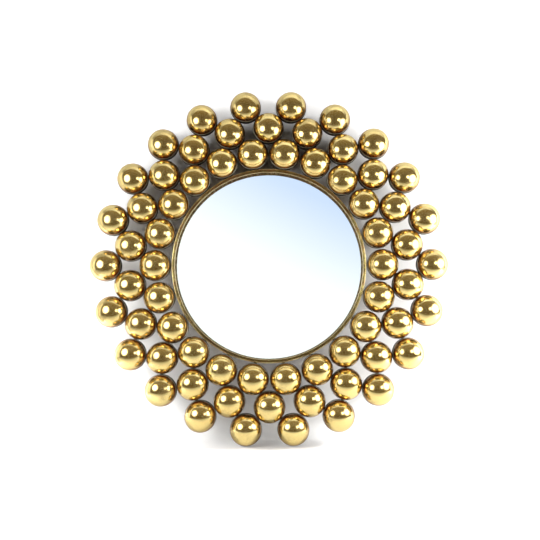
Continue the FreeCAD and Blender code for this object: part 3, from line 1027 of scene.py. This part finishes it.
def build_world(stage):
    """White to the camera, a dim warm studio to everything else, brighter towards its ceiling."""
    warm, floor_z, ceiling_z, ceiling_gain, diffuse_share = (1.0, 0.80, 0.54, 1.0), 0.1, 0.95, 2.1, 0.5
    world = bpy.data.worlds.new("studio")
    bpy.context.scene.world = world
    world.use_nodes = True
    tree = world.node_tree
    tree.nodes.clear()
    output = tree.nodes.new("ShaderNodeOutputWorld")
    direction = split(tree, tree.nodes.new("ShaderNodeTexCoord").outputs["Generated"])
    dim = tree.nodes.new("ShaderNodeBackground")
    dim.inputs["Color"].default_value = warm
    white = tree.nodes.new("ShaderNodeBackground")
    white.inputs["Color"].default_value = (1, 1, 1, 1)
    path = tree.nodes.new("ShaderNodeLightPath").outputs
    strength = remap(tree, direction["Z"], floor_z, ceiling_z, stage.front_grey,
                     ceiling_gain * stage.front_grey)
    share = remap(tree, path["Is Diffuse Ray"], 0.0, 1.0, 1.0, diffuse_share)
    tree.links.new(math_node(tree, "MULTIPLY", strength, share), dim.inputs["Strength"])
    both = shader_node(tree, "ShaderNodeMixShader", path["Is Camera Ray"], dim.outputs["Background"],
                       white.outputs["Background"])
    tree.links.new(both, output.inputs["Surface"])


def softbox(name, place, width, height, radiance):
    """Oval area lamp at this place, facing the mirror's middle, whose light stays off the glass."""
    direction = (Vector(place) - Vector((0, BALL_Y, 0))).normalized()
    lamp = bpy.data.lights.new(name, "AREA")
    lamp.shape = "ELLIPSE"
    lamp.size = width
    lamp.size_y = height
    lamp.energy = radiance * math.pi * width * height
    holder = bpy.data.objects.new(name, lamp)
    bpy.context.scene.collection.objects.link(holder)
    holder.location = place
    holder.rotation_euler = direction.to_track_quat("Z", "Y").to_euler()
    group = bpy.data.collections.new(name + "_targets")
    group.objects.link(bpy.data.objects["silvered_disc"])
    group.collection_objects[0].light_linking.link_state = "EXCLUDE"
    holder.light_linking.receiver_collection = group
    return holder


def glass_dome():
    """Pale dome seen only by the mirror glass: white at the lower left, pale blue at the upper right."""
    white, blue = (0.94, 1.03, 1.02), (0.51, 0.69, 0.96)
    rightwards, upwards, white_to, blue_from = 0.44, 0.90, 0.30, 0.90
    front_y, first_reflection = -0.4, 1.5
    dome = new_primitive(bpy.ops.mesh.primitive_uv_sphere_add, "pale_dome", segments=48, ring_count=24,
                         radius=DOME_RADIUS)
    bpy.ops.object.mode_set(mode="EDIT")
    bpy.ops.mesh.select_all(action="SELECT")
    bpy.ops.mesh.bisect(plane_co=(0, front_y, 0), plane_no=(0, 1, 0), clear_outer=True)
    bpy.ops.mesh.select_all(action="SELECT")
    bpy.ops.mesh.normals_make_consistent(inside=True)
    bpy.ops.object.mode_set(mode="OBJECT")
    material, tree, surface = empty_material("pale_gradient")
    place = split(tree, object_coordinates(tree))
    slant = math_node(tree, "ADD", math_node(tree, "MULTIPLY", place["X"], rightwards),
                      math_node(tree, "MULTIPLY", place["Z"], upwards))
    glow = tree.nodes.new("ShaderNodeEmission")
    colour = mix_colours(tree, remap(tree, slant, white_to, blue_from), white, blue)
    tree.links.new(colour, glow.inputs["Color"])
    depth = tree.nodes.new("ShaderNodeLightPath").outputs["Ray Depth"]
    tree.links.new(math_node(tree, "LESS_THAN", depth, first_reflection), glow.inputs["Strength"])
    clear = tree.nodes.new("ShaderNodeBsdfTransparent").outputs["BSDF"]
    tree.links.new(shader_node(tree, "ShaderNodeAddShader", glow.outputs["Emission"], clear), surface)
    dome.data.materials.append(material)
    dome.visible_camera = False
    dome.visible_diffuse = False
    dome.visible_shadow = False
    receivers = bpy.data.collections.new("glass_only")
    receivers.objects.link(bpy.data.objects["silvered_disc"])
    dome.light_linking.receiver_collection = receivers


def build_camera(stage):
    """Camera at the photograph's distance and angle."""
    data = bpy.data.cameras.new("camera")
    data.lens = stage.lens
    data.sensor_width = 36.0
    data.clip_start, data.clip_end = 0.01, 50.0
    camera = bpy.data.objects.new("camera", data)
    bpy.context.scene.collection.objects.link(camera)
    back = Vector((0, -math.cos(stage.elevation), math.sin(stage.elevation)))
    camera.location = Vector(stage.aim) + back * stage.distance
    turn = back.to_track_quat("Z", "Y").to_matrix() @ Euler((0, 0, stage.roll)).to_matrix()
    camera.rotation_euler = turn.to_euler()
    bpy.context.scene.camera = camera


class GIRANDOLE_OT_stage(bpy.types.Operator):
    """Sets the camera, the white room, the studio light and the world"""
    bl_idname = "girandole.stage"
    bl_label = "Stage"

    def execute(self, context):
        stage, sizes = context.scene.girandole_stage, context.scene.girandole_sizes
        context.scene.view_settings.view_transform = "Standard"
        build_camera(stage)
        build_room(stage, sizes)
        build_world(stage)
        for name, place, width, height in SOFTBOXES:
            softbox(name, place, width, height, stage.softbox_strength).visible_diffuse = False
        for name, place, width, height, radiance in SIDE_LAMPS:
            softbox(name, place, width, height, radiance * stage.side_strength).visible_glossy = False
        glass_dome()
        return {"FINISHED"}


# ---- Panel ----
OPERATORS = (GIRANDOLE_OT_balls, GIRANDOLE_OT_joints, GIRANDOLE_OT_hoop, GIRANDOLE_OT_glass,
             GIRANDOLE_OT_back, GIRANDOLE_OT_hardware, GIRANDOLE_OT_stage)


class GIRANDOLE_PT_panel(bpy.types.Panel):
    """Lists the operators and settings"""
    bl_idname = "GIRANDOLE_PT_panel"
    bl_label = "Girandole mirror"
    bl_space_type = "VIEW_3D"
    bl_region_type = "UI"
    bl_category = "Girandole"

    def draw(self, context):
        for operator in OPERATORS:
            self.layout.operator(operator.bl_idname)
        for holder in HOLDERS:
            box = self.layout.box()
            settings = getattr(context.scene, holder)
            for name in settings.bl_rna.properties.keys():
                if name not in ("rna_type", "name"):
                    box.prop(settings, name)


CLASSES = (*GROUPS, *OPERATORS, GIRANDOLE_PT_panel)


def register():
    for cls in CLASSES:
        bpy.utils.register_class(cls)
    for holder, group in zip(HOLDERS, GROUPS):
        setattr(bpy.types.Scene, holder, bpy.props.PointerProperty(type=group))


def unregister():
    for holder in HOLDERS:
        delattr(bpy.types.Scene, holder)
    for cls in reversed(CLASSES):
        bpy.utils.unregister_class(cls)


def main():
    """Makes every piece and the stage."""
    register()
    for operator in OPERATORS:
        group, call = operator.bl_idname.split(".")
        getattr(getattr(bpy.ops, group), call)()


if __name__ == "__main__":
    main()
